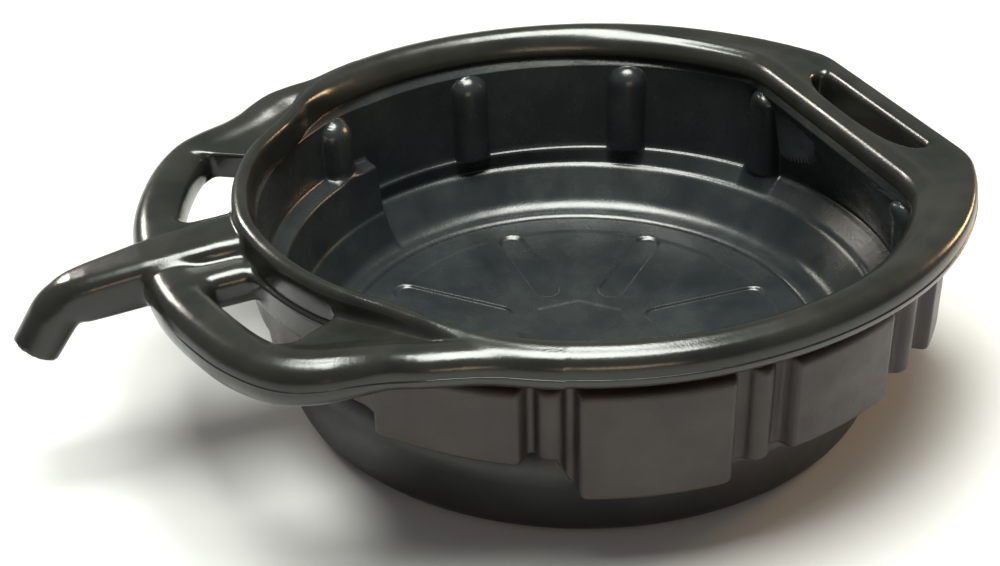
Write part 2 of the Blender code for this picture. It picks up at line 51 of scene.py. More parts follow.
FLOOR_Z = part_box("sump_floor")[1][2]
BREAK_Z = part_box("sump_wall")[1][2]           # inner edge of the sloping ledge
LEDGE_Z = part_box("bowl_ledge")[1][2]          # foot of the bowl wall
SHELF_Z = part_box("spout_shelf")[1][2]
BASE_TOP_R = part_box("base_shell")[1][0]
PANEL_TOP_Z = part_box("skirt_panel_middle_left")[1][2]
SPOUT_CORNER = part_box("spout_tip")[0]         # lowest corner of the spout's end

# ---- proportions of the moulding ----------------------------------------------------------
RIM_STRETCH = 1.08              # the rim is drawn out this much towards the carry end
WALL_FOLLOWS = 0.75             # share of that stretch which the walls below follow
END_CORNER = 0.0080             # rounding where the walls turn into the straight end
LIP_R = 0.1915                  # nose of the pouring lip
LIP_X = 0.1663                  # nose of the lip along the straight end
LIP_Z = 0.1205
WALL_R = 0.1875                 # bowl wall at the ledge
WALL_DRAFT = 0.0018             # how much wider it is at the top
WALL_TOP_Z = 0.1154
WALL_X_LOW = 0.2080             # straight end of the bowl wall at the ledge
WALL_X_TOP = LIP_X - 0.0005     # and at the top
WALL_PAST_RIBS = 0.0022         # extra radius beside the spout
WALL_TURN_Z = 0.1125            # the wall turns outwards here, under the lip
LIP_UNDER_Z = 0.1194
BREAK_R = 0.1840
SHELF_START = 117.5             # the spout shelf runs from this angle to its mirror image
FLOOR_EDGE_R = 0.1500           # the sump floor ends here, and the coved wall goes on
FLOOR_SKIN = 0.0028
WALL_SKIN = 0.0030
RIBS = (27.0, 57.5, 92.0, 126.0)
RIB_HALF = 0.0128
RIB_OUT = 0.0104
RIB_DOME_Z = 0.0990             # the ribs' rounded tops start here
RIB_DOME = 0.0130
RIB_DOME_LEVELS = (1.0, 0.985, 0.95, 0.88, 0.78, 0.66, 0.50, 0.30, 0.0)

BASE_R = 0.1801                 # the base where it stands on the floor
BASE_SHOULDER_Z = 0.0405
BASE_SKIN = 0.0026
SKIRT_R = 0.1983
SKIRT_FOOT_Z = 0.0425
SKIRT_X_LOW = 0.2240            # straight end of the skirt at its foot
SKIRT_X_TOP = 0.1760
SKIRT_SHOULDER_Z = 0.1100
SKIRT_TOP_Z = 0.1180
SKIRT_LAP = 0.0040              # the skirt stands this far outside the base
SKIRT_LOW_CARRY = 0.0500        # lower edge of the skirt at the carry end
SKIRT_LOW_SPOUT = 0.0710        # and beside the spout
# start angle, end angle, lower edge
PANELS = ((29.0, 44.0, 0.0500), (60.0, 80.0, 0.0530), (90.0, 112.0, 0.0432),
          (120.5, 143.0, 0.0626))
PANEL_OUT = 0.0080
# angle, lower edge
POSTS = ((52.0, 0.0545), (85.0, 0.0510), (116.3, 0.0665))
POST_HALF = 0.0072
POST_OUT = 0.0062

NECK_Z = 0.1072                 # middle of the drain passage where it leaves the bowl
PASSAGE_HALF_Y = 0.0158
PASSAGE_HALF_Z = 0.0066


# ---- small numeric helpers, all on arrays -------------------------------------------------
def step(low, high, value):
    """Smooth ramp from 0 at low to 1 at high."""
    t = np.clip((value - low) / (high - low), 0.0, 1.0)
    return t * t * (3.0 - 2.0 * t)


def smooth_min(a, b, blend):
    h = np.maximum(blend - np.abs(a - b), 0.0) / blend
    return np.minimum(a, b) - h * h * blend * 0.25


def smooth_max(a, b, blend):
    return -smooth_min(-a, -b, blend)


def slab(value, middle, half):
    """Negative within half of the middle."""
    return np.abs(value - middle) - half


def straight(distance, a):
    """Radius of a wall square to +X at this distance; very large where it is out of reach."""
    c = np.cos(np.radians(a))
    return np.where(c > 0.2, distance / np.maximum(c, 0.2), 10.0)


def drawn_out(a):
    """Radius of the rim's half that is drawn out towards the carry end."""
    c = np.cos(np.radians(a))
    s = np.sin(np.radians(a))
    return RIM_R / np.sqrt((c / RIM_STRETCH) ** 2 + s * s)


def wall_bulge(a):
    """How far the walls below follow that half."""
    carry_half = np.cos(np.radians(a)) > 0.0
    return WALL_FOLLOWS * np.maximum(0.0, np.where(carry_half, drawn_out(a) - RIM_R, 0.0))


def bowl_outline(a, z):
    up = (z - LEDGE_Z) / (WALL_TOP_Z - LEDGE_Z)
    r = WALL_R + WALL_DRAFT * up + wall_bulge(a)
    r = r + WALL_PAST_RIBS * step(114.0, 124.0, np.abs(a))
    edge = WALL_X_LOW + (WALL_X_TOP - WALL_X_LOW) * up
    return smooth_min(r, straight(edge, a), END_CORNER)


def skirt_outline(a, z):
    up = (z - SKIRT_FOOT_Z) / (WALL_TOP_Z - SKIRT_FOOT_Z)
    edge = SKIRT_X_LOW + (SKIRT_X_TOP - SKIRT_X_LOW) * up
    return smooth_min(SKIRT_R + wall_bulge(a), straight(edge, a), END_CORNER)


# ---- meshes -------------------------------------------------------------------------------
def mesh_object(name, verts, faces, smooth=True):
    mesh = bpy.data.meshes.new(name)
    mesh.from_pydata([tuple(v) for v in verts], [], [tuple(f) for f in faces])
    mesh.validate()
    mesh.update()
    if smooth:
        mesh.shade_smooth()
    else:
        mesh.shade_flat()
    obj = bpy.data.objects.new(name, mesh)
    bpy.context.scene.collection.objects.link(obj)
    return obj


def dense_angles(spots, half, fine, coarse):
    """Angles round the circle, closer together within half of the given spots."""
    fade = 3.0
    marks = np.array(list(spots) + [-s for s in spots])
    a = -180.0
    out = []
    while a < 180.0 - 1e-6:
        out.append(a)
        near = np.abs(marks - a).min()
        a += fine + (coarse - fine) * float(step(half, half + fade, near))
    return np.array(out)


def loft_rings(name, angle, radius, height, closed):
    """Join rings of (levels, angles) radii and heights; the ends meet, or both are capped."""
    levels, count = radius.shape
    x = radius * np.cos(np.radians(angle))
    y = radius * np.sin(np.radians(angle))
    verts = np.stack([x, y, height], axis=-1).reshape(-1, 3)
    idx = np.arange(levels * count).reshape(levels, count)
    if closed:
        idx = np.vstack([idx, idx[:1]])
    nxt = np.roll(idx, -1, axis=1)
    faces = np.stack([idx[:-1], nxt[:-1], nxt[1:], idx[1:]], axis=-1).reshape(-1, 4).tolist()
    if not closed:
        faces += [idx[0][::-1].tolist(), idx[-1].tolist()]
    return mesh_object(name, verts, faces)


def rounded(a, corners):
    """Radii and heights of the levels along a profile at the angles a.

    A corner is (radius, height), or (radius, height, cut, steps) to round it over the length
    cut on each side in that many steps. Radius and height are numbers or arrays over a."""
    flat = np.ones_like(a)
    rows = [(r * flat, z * flat, *(rounding or (0.0, 0))) for r, z, *rounding in corners]
    radius = []
    height = []
    for i, (r, z, cut, steps) in enumerate(rows):
        if steps == 0:
            radius.append(r)
            height.append(z)
            continue
        arms = []
        for other in (rows[i - 1], rows[i + 1]):
            arm = np.stack([other[0] - r, other[1] - z])
            length = np.maximum(np.hypot(arm[0], arm[1]), 1e-9)
            arms.append(arm * np.minimum(cut, 0.48 * length) / length)
        before, after = arms
        for k in range(steps + 1):
            t = k / steps
            radius.append(r + before[0] * (1.0 - t) ** 2 + after[0] * t * t)
            height.append(z + before[1] * (1.0 - t) ** 2 + after[1] * t * t)
    return np.array(radius), np.array(height)


# ---- outside of the pan -------------------------------------------------------------------
def panel_offset(a):
    """How far the moulded panels stand off the skirt."""
    a = np.abs(a)
    out = np.zeros_like(a)
    for start, end, _ in PANELS:
        raised = step(start - 1.1, start + 0.3, a) * (1.0 - step(end - 0.3, end + 1.1, a))
        out = np.maximum(out, raised)
    return PANEL_OUT * out


def post_offset(a):
    """How far the half-round posts stand off the skirt."""
    a = np.abs(a)
    out = np.zeros_like(a)
    for centre, _ in POSTS:
        side = np.radians(a - centre) * SKIRT_R / POST_HALF
        out = np.maximum(out, np.sqrt(np.maximum(0.0, 1.0 - side * side)))
    return POST_OUT * out


def skirt_low(a):
    """Lower edge of the skirt, stepping smoothly from panel to panel."""
    a = np.abs(a)
    post_low = [low for _, low in POSTS]
    z = SKIRT_LOW_CARRY + (post_low[0] - SKIRT_LOW_CARRY) * step(14.0, 26.0, a)
    z = z + (post_low[1] - post_low[0]) * step(82.0, 84.0, a)
    z = z + (post_low[2] - post_low[1]) * step(113.5, 115.5, a)
    for start, end, low in PANELS:
        inside = step(start - 2.4, start + 1.2, a) * (1.0 - step(end - 1.2, end + 2.4, a))
        z = z + (low - z) * inside
    return z + (SKIRT_LOW_SPOUT - z) * step(143.0, 147.0, a)


def outside_angles():
    """Angles for the base and the skirt, close together at the panels' ends and the posts."""
    spots = [s for p in PANELS for s in p[:2]] + [p[0] for p in POSTS] + [32.0, 14.0]
    return dense_angles(spots, 4.0, 0.36, 1.1)


def build_base():
    """Cup-shaped lower part, rounded at the bottom edge, running up under the skirt."""
    a = outside_angles()
    lap_z = skirt_low(a) + 0.0006
    under = skirt_outline(a, skirt_low(a)) - SKIRT_LAP
    radius, height = rounded(a, [
        (FLOOR_EDGE_R, 0.0),
        (BASE_R, 0.0, 0.0085, 9),
        (BASE_TOP_R, BASE_SHOULDER_Z, 0.0030, 4),
        (under, lap_z),
        (under - 0.0024, lap_z),
        (BASE_TOP_R - 0.0030, BASE_SHOULDER_Z - 0.0005),
        (BASE_R - 0.0021, BASE_SKIN),
        (FLOOR_EDGE_R, BASE_SKIN),
    ])
    return loft_rings("base_skin", a, radius, height, closed=False)


def build_skirt():
    """Skirt wall with its raised panels and posts, and the stepped lower edge."""
    a = outside_angles()
    low = skirt_low(a)
    low_r = skirt_outline(a, low)
    top_r = skirt_outline(a, SKIRT_TOP_Z)
    under = low_r - SKIRT_LAP
    raised = panel_offset(a) + post_offset(a)
    radius, height = rounded(a, [
        (under - WALL_SKIN, low),
        (under + 0.0004, low),
        (low_r + raised, low, 0.0032, 6),
        (skirt_outline(a, PANEL_TOP_Z) + raised, PANEL_TOP_Z - 0.0015, 0.0038, 6),
        (skirt_outline(a, SKIRT_SHOULDER_Z), SKIRT_SHOULDER_Z - 0.0002, 0.0012, 3),
        (top_r, SKIRT_TOP_Z),
        (top_r - WALL_SKIN, SKIRT_TOP_Z),
        (under - WALL_SKIN, low + 0.0024),
    ])
    return loft_rings("skirt_skin", a, radius, height, closed=True)


# ---- inside of the pan --------------------------------------------------------------------
def rib_offset(a, rise=0.0):
    """Half-round ribs standing into the bowl; rise goes from 0 to 1 over the domed top."""
    a = np.abs(a)
    out = np.zeros_like(a)
    for centre in RIBS:
        side = np.radians(a - centre) * WALL_R / RIB_HALF
        dome = np.sqrt(np.maximum(0.0, 1.0 - side * side - rise * rise)) * RIB_OUT
        out = np.maximum(out, dome)
    return out


def build_inside():
    """Bowl wall with its ribs, the ledge and the spout shelf, and the coved sump wall."""
    a = dense_angles(RIBS + (SHELF_START,), 4.2, 0.33, 1.1)
    rib = rib_offset(a)
    on_shelf = step(SHELF_START - 0.5, SHELF_START + 0.9, np.abs(a))

    def mix(ledge, shelf):
        return ledge + (shelf - ledge) * on_shelf

    foot = mix(LEDGE_Z, SHELF_Z)
    foot_r = bowl_outline(a, foot)
    top_r = bowl_outline(a, WALL_TOP_Z)
    turn_r = bowl_outline(a, WALL_TURN_Z)
    corners = [
        (top_r + 0.0064, LIP_UNDER_Z),
        (top_r + 0.0052, LIP_UNDER_Z - 0.0012, 0.0008, 3),
        (turn_r, WALL_TURN_Z - 0.0003, 0.0016, 4),
    ]
    for rise in RIB_DOME_LEVELS:
        z = RIB_DOME_Z + RIB_DOME * rise
        corners.append((bowl_outline(a, z) - rib_offset(a, rise), z))
    corners += [
        # foot of the wall, edge of the shelf, small lip at the ledge's break, cove, floor
        (foot_r - 0.97 * rib, foot, 0.0034, 6),
        (mix(foot_r - 0.0026 - 0.60 * rib, 0.1785), mix(LEDGE_Z - 0.0012, SHELF_Z - 0.0026),
         0.0024, 6),
        (mix(BREAK_R + 0.0022, 0.1745), BREAK_Z + 0.0034, 0.0020, 4),
        (mix(BREAK_R - 0.0010, 0.1728), BREAK_Z + 0.0018, 0.0026, 6),
        (mix(0.1652, 0.1640), FLOOR_Z, 0.0085, 10),
        (FLOOR_EDGE_R, FLOOR_Z),
        # and back up behind
        (FLOOR_EDGE_R, FLOOR_Z - FLOOR_SKIN),
        (mix(0.1665, 0.1655), FLOOR_Z - FLOOR_SKIN),
        (mix(BREAK_R + 0.0040, 0.1790), BREAK_Z - 0.0020),
        (foot_r + WALL_SKIN, foot - 0.0040),
        (turn_r + WALL_SKIN, WALL_TURN_Z - 0.0005),
        (top_r + 0.0080, LIP_UNDER_Z - 0.0014),
    ]
    radius, height = rounded(a, corners)
    return loft_rings("pan_inside", a, radius[::-1], height[::-1], closed=True)


# ---- sump floor ---------------------------------------------------------------------------
GROOVE_DEEP = 0.0016
GROOVE_HALF = 0.00875
GROOVE_IN = 0.0470              # the eight grooves run from this radius
GROOVE_OUT = 0.1320             # to this one
HUB_APOTHEM = 0.0350            # the eight-sided hub
HUB_DEEP = 0.0006
STEP_R = 0.1296                 # faint step round the grooves' outer ends
STEP_RISE = 0.0005
FLOOR_ANGLES = 1200


def build_floor():
    a = np.arange(FLOOR_ANGLES) * 360.0 / FLOOR_ANGLES
    radii = np.concatenate([[0.0080, 0.0180, 0.0260], np.linspace(0.0300, 0.1400, 96),
                            [0.1430, 0.1465, FLOOR_EDGE_R]])
    r, ang = np.meshgrid(radii, a, indexing="ij")
    turn = (ang + 22.5) % 45.0 - 22.5
    along = r * np.cos(np.radians(turn))
    side = np.abs(r * np.sin(np.radians(turn)))
    past = np.maximum(0.0, np.maximum(GROOVE_IN + GROOVE_HALF - along,
                                      along - GROOVE_OUT + GROOVE_HALF))
    in_groove = GROOVE_HALF - np.hypot(side, past)
    z = FLOOR_Z - 0.0005 - GROOVE_DEEP * step(-0.0004, 0.0013, in_groove)
    z = z - HUB_DEEP * step(-0.0010, 0.0012, HUB_APOTHEM - along)
    z = z + STEP_RISE * step(STEP_R - 0.0006, STEP_R + 0.0010, r)
    under = np.full_like(z[-1:], FLOOR_Z - FLOOR_SKIN)
    return loft_rings("sump_floor_skin", a, np.concatenate([r[-1:], r[::-1]]),
                      np.concatenate([under, z[::-1]]), closed=False)


# ---- rim, handles and spout: one solid given by a field, negative inside -------------------
# angle, outer radius of the bead
RING_TABLE = ((0.0, 0.2160), (118.0, 0.2160), (121.0, 0.2150), (125.2, 0.2121), (130.2, 0.2048),
              (136.2, 0.1990), (142.4, 0.1965), (148.0, 0.1985), (154.1, 0.2013),
              (160.6, 0.2028), (168.0, 0.2042), (180.0, 0.2060))
# angle, centre radius, half width, centre height, half height
HANDLE_TABLE = (
    (114.0, 0.2054, 0.0106, 0.1250, 0.0100), (118.0, 0.2055, 0.0106, 0.1250, 0.0100),
    (122.0, 0.2062, 0.0107, 0.1251, 0.0100), (125.5, 0.2085, 0.0110, 0.1252, 0.0098),
    (129.0, 0.2130, 0.0113, 0.1250, 0.0099), (132.5, 0.2178, 0.0115, 0.1243, 0.0100),
    (136.0, 0.2205, 0.0118, 0.1222, 0.0104), (139.0, 0.2240, 0.0121, 0.1188, 0.0110),
    (142.0, 0.2300, 0.0125, 0.1158, 0.0118), (144.5, 0.2368, 0.0129, 0.1142, 0.0124),
    (147.0, 0.2425, 0.0132, 0.1131, 0.0129), (149.5, 0.2458, 0.0136, 0.1123, 0.0133),
    (153.0, 0.2473, 0.0141, 0.1116, 0.0136), (157.0, 0.2478, 0.0145, 0.1112, 0.0138),
    (163.0, 0.2478, 0.0146, 0.1112, 0.0138))
# x, y, half width, centre height, half height
BAR_END = ((-0.2425, 0.0520, 0.0146, 0.1108, 0.0136), (-0.2450, 0.0350, 0.0146, 0.1102, 0.0132),
           (-0.2462, 0.0180, 0.0146, 0.1098, 0.0128), (-0.2466, 0.0, 0.0146, 0.1098, 0.0128))
# x, z, half width, half height, power of the section
SPOUT = ((-0.1980, 0.1170, 0.0200, 0.0150, 4.2), (-0.2180, 0.1164, 0.0194, 0.0149, 4.2),
         (-0.2570, 0.1120, 0.0172, 0.0144, 3.9), (-0.2870, 0.1074, 0.0148, 0.0139, 3.4),
         (-0.2930, 0.1064, 0.0142, 0.0137, 3.2))
BORE = ((-0.1780, NECK_Z, 0.0142, 0.0050, 3.3), (-0.2060, NECK_Z, 0.0142, 0.0050, 3.3),
        (-0.2150, 0.1155, 0.0142, 0.0095, 3.3), (-0.2570, 0.1118, 0.0130, 0.0108, 3.3),
        (-0.2870, 0.1072, 0.0110, 0.0104, 2.8), (-0.2930, 0.1062, 0.0105, 0.0102, 2.5))
ELBOW_PIECES = 10               # the spout turns down in this many pieces
ELBOW_BLEND_PIECES = 5.0        # and is round after this many
ELBOW_STEP = 0.0020
ELBOW_TURN = 4.6
SPOUT_LEAN = 9.0
TIP_LENGTH = 0.0215
BORE_PAST_TIP = 0.0060          # the bore runs out past the tip, to leave it open

BEAD_Z = 0.1250                 # height of the bead's widest part
BEAD_HALF = 0.0106
BEAD_SCALE = 0.0085             # size that turns a section's value into a distance, in metres
HANDLE_SCALE = 0.0120
SPOUT_SCALE = 0.0125
BORE_SCALE = 0.0100
HANDLE_POWER = 2.4
LIP_SCALE = 0.0095
LIP_DROP = 0.0036               # the lip's underside hangs this far below its nose
RIDGE = 0.0006                  # low moulded ridge and valley beside the carry slot
FLANGE_Z = 0.1150               # pinched flange under the rim between the handles
WALL_Z = 0.1080                 # middle of the deeper wall under that flange
BEHIND_WALL = 0.0042            # both stay this close to the outside, clear of the bowl
SLOT_NEAR = 0.1790
SLOT_FAR = 0.2000
SLOT_HALF = 0.0600
COLLAR_Z = 0.1125
GUSSET_Z = 0.1095
GUSSET_FAR_X = -0.2450
GUSSET_NEAR_X = -0.2020


def with_elbow(stations, width, power, past):
    """Carry the path on through the elbow and down the tip, turning round in section."""
    x, z, wide, high, squareness = stations[-1]
    out = list(stations)
    lean = SPOUT_LEAN
    for i in range(ELBOW_PIECES):
        part = min(1.0, (i + 1) / ELBOW_BLEND_PIECES)
        x -= ELBOW_STEP * math.cos(math.radians(lean))
        z -= ELBOW_STEP * math.sin(math.radians(lean))
        lean += ELBOW_TURN
        out.append((x, z, wide + (width - wide) * part, high + (width - high) * part,
                    squareness + (power - squareness) * part))
    x -= (TIP_LENGTH + past) * math.cos(math.radians(lean))
    z -= (TIP_LENGTH + past) * math.sin(math.radians(lean))
    out.append((x, z, width - 0.0003, width - 0.0003, 2.0))
    return out


def smooth_path(stations, each):
    """Catmull-Rom through the stations; every column is carried along."""
    p = np.array(stations)
    p = np.vstack([2 * p[0] - p[1], p, 2 * p[-1] - p[-2]])
    out = []
    for i in range(1, len(p) - 2):
        for k in range(each):
            t = k / each
            out.append(0.5 * (2 * p[i] + (p[i + 1] - p[i - 1]) * t
                              + (2 * p[i - 1] - 5 * p[i] + 4 * p[i + 1] - p[i + 2]) * t * t
                              + (3 * p[i] - p[i - 1] - 3 * p[i + 1] + p[i + 2]) * t ** 3))
    out.append(p[-2])
    return np.array(out)


def nearest_on_path(px, py, path):
    """Distance across a plane path, how far past its ends, and its other columns there."""
    best = np.full(np.broadcast(px, py).shape, 1e9)
    cols = [np.zeros_like(best) for _ in range(path.shape[1] - 2)]
    over = np.full_like(best, -1.0)
    for i in range(len(path) - 1):
        ax, ay = path[i, 0], path[i, 1]
        dx, dy = path[i + 1, 0] - ax, path[i + 1, 1] - ay
        length2 = dx * dx + dy * dy
        raw = ((px - ax) * dx + (py - ay) * dy) / length2
        t = np.clip(raw, 0.0, 1.0)
        d = np.hypot(px - ax - t * dx, py - ay - t * dy)
        closer = d < best
        best = np.where(closer, d, best)
        past = -1.0
        if i == len(path) - 2:
            past = (raw - 1.0) * math.sqrt(length2)
        if i == 0:
            past = -raw * math.sqrt(length2)
        over = np.where(closer, past, over)
        for c in range(len(cols)):
            value = path[i, c + 2] + (path[i + 1, c + 2] - path[i, c + 2]) * t
            cols[c] = np.where(closer, value, cols[c])
    across = np.sqrt(np.maximum(best * best - np.maximum(over, 0.0) ** 2, 0.0))
    return across, over, cols


def make_handle_path():
    rows = []
    for a, r, w, z, h in HANDLE_TABLE:
        rows.append((r * math.cos(math.radians(a)), r * math.sin(math.radians(a)), w, z, h))
    return smooth_path(rows + list(BAR_END), 3)


def soft_ring():
    """The ring table at every half degree, with its corners averaged out."""
    angles = np.linspace(0.0, 180.0, 361)
    plain = np.interp(angles, [p[0] for p in RING_TABLE], [p[1] for p in RING_TABLE])
    kernel = np.hanning(13) / np.hanning(13).sum()
    return angles, np.convolve(np.pad(plain, 6, mode="edge"), kernel, mode="valid")


HANDLE_PATH = make_handle_path()
SPOUT_PATH = np.array(with_elbow(SPOUT, 0.0134, 2.2, 0.0))
BORE_PATH = np.array(with_elbow(BORE, 0.0102, 2.2, BORE_PAST_TIP))
WEB_ANGLES = np.array([row[0] for row in HANDLE_TABLE])
WEB_RADII = np.array([row[1] for row in HANDLE_TABLE])
RING_ANGLES, RING_RADII = soft_ring()


def ring_radius(a):
    """Outer radius of the bead, for angles from 0 to 180."""
    return np.where(a < 90.0, drawn_out(a), np.interp(a, RING_ANGLES, RING_RADII))


def section(u, half_u, v, half_v, power):
    """Rounded-rectangle section: -1 in the middle and 0 on its edge."""
    return (np.abs(u / half_u) ** power + np.abs(v / half_v) ** power) ** (1.0 / power) - 1.0


def rim_profile(a, z, outer, mouth):
    """The bead and the lip beside it, from the distances outside the rim and into its mouth."""
    u = -outer
    wide = u + mouth
    end = step(119.0, 136.0, a)
    # bead: a squarish roll along the outer edge, slimmer at the spout end and the carry end
    broad = step(0.0265, 0.0350, wide)
    uc = BEAD_HALF - 0.0056 * end - 0.0030 * broad
    power = 2.5 + 0.7 * end + 0.9 * broad
    dz = z - BEAD_Z
    b = np.where(dz > 0.0, 0.0110 - 0.0018 * broad, 0.0092 + 0.0022 * end)
    bead = section(u - uc, uc, dz, b, power) * BEAD_SCALE
    # lip: from the crest down to its nose
    vc = np.clip(wide - uc, 0.0045, 0.0142) - 0.0050 * broad
    ridge = RIDGE * np.exp(-((mouth - 0.0100) / 0.0028) ** 2) * broad
    valley = RIDGE * np.exp(-((mouth - 0.0062) / 0.0016) ** 2) * broad
    rise = 0.0155 - 0.0030 * broad + ridge - valley
    dz = z - LIP_Z
    b = np.where(dz > 0.0, rise, LIP_DROP)
    q = np.maximum(vc - mouth, 0.0) / vc
    lip = (np.sqrt(q * q + (dz / b) ** 2) - 1.0) * np.where(dz > 0.0, LIP_SCALE, LIP_DROP)
    lip = smooth_max(lip, uc - 0.0006 - u, blend=0.0030)
    return smooth_min(bead, lip, blend=0.0026)


def pinched_flange(a, r, z, outer):
    """Thin flange under the rim between the handles."""
    flange = smooth_max(slab(z, FLANGE_Z, 0.0017), outer - 0.0022, blend=0.0018)
    flange = smooth_max(flange, -BEHIND_WALL - outer, blend=0.0008)
    return np.maximum(flange, np.radians(141.0 - a) * r)


def wall_under_flange(a, r, z, outer):
    wall = smooth_max(outer + 0.0006, -BEHIND_WALL - outer, blend=0.0008)
    wall = smooth_max(wall, slab(z, WALL_Z, 0.0120), blend=0.0015)
    return np.maximum(wall, np.radians(146.0 - a) * r)


def finger_slot(x, y):
    bow = (y / SLOT_HALF) ** 2
    near = SLOT_NEAR + 0.0080 * bow * bow + 0.0035 * bow
    slot = smooth_max(near - x, x - SLOT_FAR, blend=0.0050)
    return smooth_max(slot, y - SLOT_HALF, blend=0.0060)


def side_handle(x, y, z):
    across, over, (w, zc, h) = nearest_on_path(x, y, HANDLE_PATH)
    tube = section(across, w, z - zc, h, HANDLE_POWER)
    return np.maximum(tube * HANDLE_SCALE, over)


def handle_web(a, r, z):
    """Sunken web between the handle's root and the rim."""
    centre = np.interp(a, WEB_ANGLES, WEB_RADII)
    plan = smooth_max(r - centre, ring_radius(a) - 0.0050 - r, blend=0.0020)
    plan = smooth_max(plan, np.radians(a - 150.3) * r, blend=0.0080)
    plan = np.maximum(plan, np.radians(119.0 - a) * r)
    top = 0.1305 - 0.0075 * step(127.0, 151.0, a)
    bottom = 0.1170 - 0.0110 * step(125.0, 142.0, a)
    return smooth_max(plan, np.maximum(z - top, bottom - z), blend=0.0020)


def gusset(x, y, z):
    """Plate between the handle's bar and the rim, beside the spout; it slopes up to the rim."""
    plate = smooth_max(x - GUSSET_NEAR_X, GUSSET_FAR_X - x, blend=0.0020)
    plate = smooth_max(plate, y - 0.0372, blend=0.0030)
    slope = 0.06 * (x - GUSSET_FAR_X)
    return smooth_max(plate, slab(z - GUSSET_Z, slope, 0.0112), blend=0.0095)


def along_spout(x, y, z, path, scale):
    across, over, (w, h, power) = nearest_on_path(x, z, path)
    return np.maximum(section(y, w, across, h, power) * scale, over)


def throat(x, y, z):
    """Walls pinched together round the drain passage."""
    block = smooth_max(-0.2120 - x, x + 0.1918, blend=0.0020)
    block = smooth_max(block, y - 0.0195, blend=0.0030)
    return smooth_max(block, slab(z, WALL_Z, 0.0100), blend=0.0020)


def rim_field(x, y, z):
    """Negative inside the rim, the handles and the spout."""
    y = np.abs(y)
    r = np.hypot(x, y)
    a = np.degrees(np.arctan2(y, x))
    outer = smooth_max(r - ring_radius(a), x - CARRY_X, blend=0.0045)
    mouth = smooth_max(r - LIP_R, x - LIP_X, blend=0.0085)
    solid = rim_profile(a, z, outer, mouth)
    solid = smooth_min(solid, pinched_flange(a, r, z, outer), blend=0.0016)
    solid = smooth_min(solid, wall_under_flange(a, r, z, outer), blend=0.0012)
    slot = finger_slot(x, y)
    collar = smooth_max(slot - 0.0034, slab(z, COLLAR_Z, 0.0095), blend=0.0020)
    solid = smooth_min(solid, collar, blend=0.0030)
    solid = smooth_max(solid, -slot, blend=0.0045)
    solid = smooth_min(solid, side_handle(x, y, z), blend=0.0022)
    solid = smooth_min(solid, handle_web(a, r, z), blend=0.0060)
    solid = smooth_min(solid, gusset(x, y, z), blend=0.0070)
    solid = smooth_min(solid, along_spout(x, y, z, SPOUT_PATH, SPOUT_SCALE), blend=0.0030)
    solid = smooth_min(solid, throat(x, y, z), blend=0.0020)
    return smooth_max(solid, -along_spout(x, y, z, BORE_PATH, BORE_SCALE), blend=0.0012)


def surface_nets(field, origin, pitch):
    """Quads where the field changes sign, one vertex in each crossed cell."""
    inside = field < 0.0
    nx, ny, nz = field.shape
    total = np.zeros((nx - 1, ny - 1, nz - 1), dtype=np.int8)
    offsets = [(i, j, k) for i in (0, 1) for j in (0, 1) for k in (0, 1)]
    for i, j, k in offsets:
        total += inside[i:nx - 1 + i, j:ny - 1 + j, k:nz - 1 + k]
    active = (total > 0) & (total < 8)
    index = np.full(active.shape, -1, dtype=np.int64)
    index[active] = np.arange(int(active.sum()))
    cells = np.argwhere(active)
    spot = np.zeros((len(cells), 3))
    hits = np.zeros(len(cells))
    for first in offsets:
        for second in offsets:
            if sum(second) != sum(first) + 1 or any(s < f for f, s in zip(first, second)):
                continue
            p = cells + np.array(first)
            q = cells + np.array(second)
            fa = field[p[:, 0], p[:, 1], p[:, 2]]
            fb = field[q[:, 0], q[:, 1], q[:, 2]]
            cross = (fa < 0.0) != (fb < 0.0)
            t = np.where(cross, fa / np.where(cross, fa - fb, 1.0), 0.0)
            mid = np.array(first) + t[:, None] * (np.array(second) - np.array(first))
            spot += mid * cross[:, None]
            hits += cross
    verts = np.array(origin) + pitch * (cells + spot / hits[:, None])
    quads = []
    for axis in range(3):
        one, two = (axis + 1) % 3, (axis + 2) % 3
        low = np.take(inside, range(field.shape[axis] - 1), axis=axis)
        high = np.take(inside, range(1, field.shape[axis]), axis=axis)
        edges = np.argwhere(low != high)
        keep = (edges[:, one] > 0) & (edges[:, two] > 0)
        keep &= edges[:, one] < field.shape[one] - 1
        keep &= edges[:, two] < field.shape[two] - 1
        edges = edges[keep]
        outward = low[edges[:, 0], edges[:, 1], edges[:, 2]]
        around = []
        for back_one, back_two in ((1, 1), (0, 1), (0, 0), (1, 0)):
            c = edges.copy()
            c[:, one] -= back_one
            c[:, two] -= back_two
            around.append(index[c[:, 0], c[:, 1], c[:, 2]])
        quad = np.stack(around, axis=-1)
        quad[~outward] = quad[~outward][:, ::-1]
        quads.append(quad)
    return verts, np.concatenate(quads)


